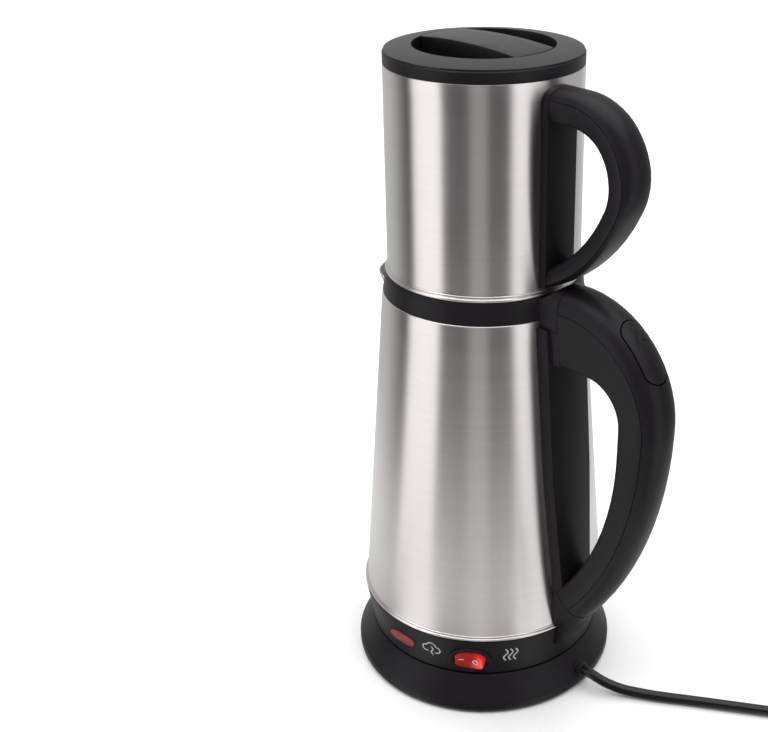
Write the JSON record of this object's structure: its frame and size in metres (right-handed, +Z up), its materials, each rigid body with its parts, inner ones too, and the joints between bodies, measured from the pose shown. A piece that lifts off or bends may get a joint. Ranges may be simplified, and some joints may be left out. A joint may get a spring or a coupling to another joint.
{
  "type": "electric Turkish tea maker",
  "caption": "Electric tea maker: steel kettle on a corded power base with a rocker switch, and a lidded steel teapot that stacks on its collar.",
  "frame": {"origin": "on the table, at the middle of the foot ring, on the axis of kettle and teapot", "axes": "+Z up along the axis of kettle and teapot; +X towards the handles; the beaks point to -X"},
  "size_m": [0.349, 0.1769, 0.3671],
  "materials": {
    "black_plastic": "satin",
    "inner_plastic": "matte",
    "rubber": "matte",
    "steel": "brushed",
    "plain_metal": "polished",
    "heat_plate_metal": "satin",
    "brass": "satin",
    "red_plastic": "gloss",
    "red_lens": "gloss",
    "pale_plastic": "matte",
    "lead_sleeve": "satin",
    "lamp_glass": "clear"
  },
  "bodies": {
    "power_base": {"base_housing": "black_plastic", "base_cover": "inner_plastic", "base_foot_ring": "rubber", "base_screws": "plain_metal", "base_connector": "inner_plastic", "base_contacts": "brass", "cord_gland": "rubber", "power_cord": "rubber", "cord_coil": "rubber", "cord_tie": "pale_plastic", "cord_tail": "rubber", "plug_body": "black_plastic", "plug_prongs": "plain_metal"},
    "kettle": {"kettle_wall": "steel", "kettle_beak": "steel", "kettle_floor": "steel", "heat_plate": "heat_plate_metal", "heating_element": "plain_metal", "kettle_socket": "inner_plastic", "socket_blades": "brass", "kettle_skirt": "black_plastic", "kettle_underside": "inner_plastic", "underside_screws": "plain_metal", "kettle_collar": "black_plastic", "kettle_handle": "black_plastic", "kettle_handle_cover": "black_plastic", "handle_screws": "plain_metal", "steam_switch": "pale_plastic", "handle_leads": "lead_sleeve", "thumb_pin": "plain_metal", "switch_bezel": "black_plastic", "switch_blades": "brass", "pilot_lens": "red_lens", "pilot_lamp": "lamp_glass"},
    "thumb_rocker": {"thumb_rocker": "black_plastic"},
    "switch_rocker": {"switch_rocker": "red_plastic"},
    "teapot": {"teapot_wall": "steel", "teapot_beak": "steel", "teapot_collar": "black_plastic", "teapot_handle": "black_plastic", "teapot_handle_cover": "black_plastic", "teapot_studs": "plain_metal", "teapot_nuts": "brass"},
    "lid": {"lid_top": "black_plastic", "lid_liner": "steel"}
  },
  "joints": [
    {"name": "kettle_lift", "type": "slide", "parent": "power_base", "child": "kettle", "axis": [0, 0, 1], "range_m": [0, 0.1]},
    {"name": "teapot_lift", "type": "slide", "parent": "kettle", "child": "teapot", "axis": [0, 0, 1], "range_m": [0, 0.12]},
    {"name": "lid_lift", "type": "slide", "parent": "teapot", "child": "lid", "axis": [0, 0, 1], "range_m": [0, 0.08]},
    {"name": "thumb_press", "type": "hinge", "parent": "kettle", "child": "thumb_rocker", "pos_m": [0.11036, 0, 0.23017], "axis": [0, 1, 0], "range_deg": [0, 4]},
    {"name": "switch_throw", "type": "hinge", "parent": "kettle", "child": "switch_rocker", "pos_m": [0.04294, -0.05209, 0.03353], "axis": [0.1017, -0.1234, 0.9871], "range_deg": [0, 16]}
  ]
}
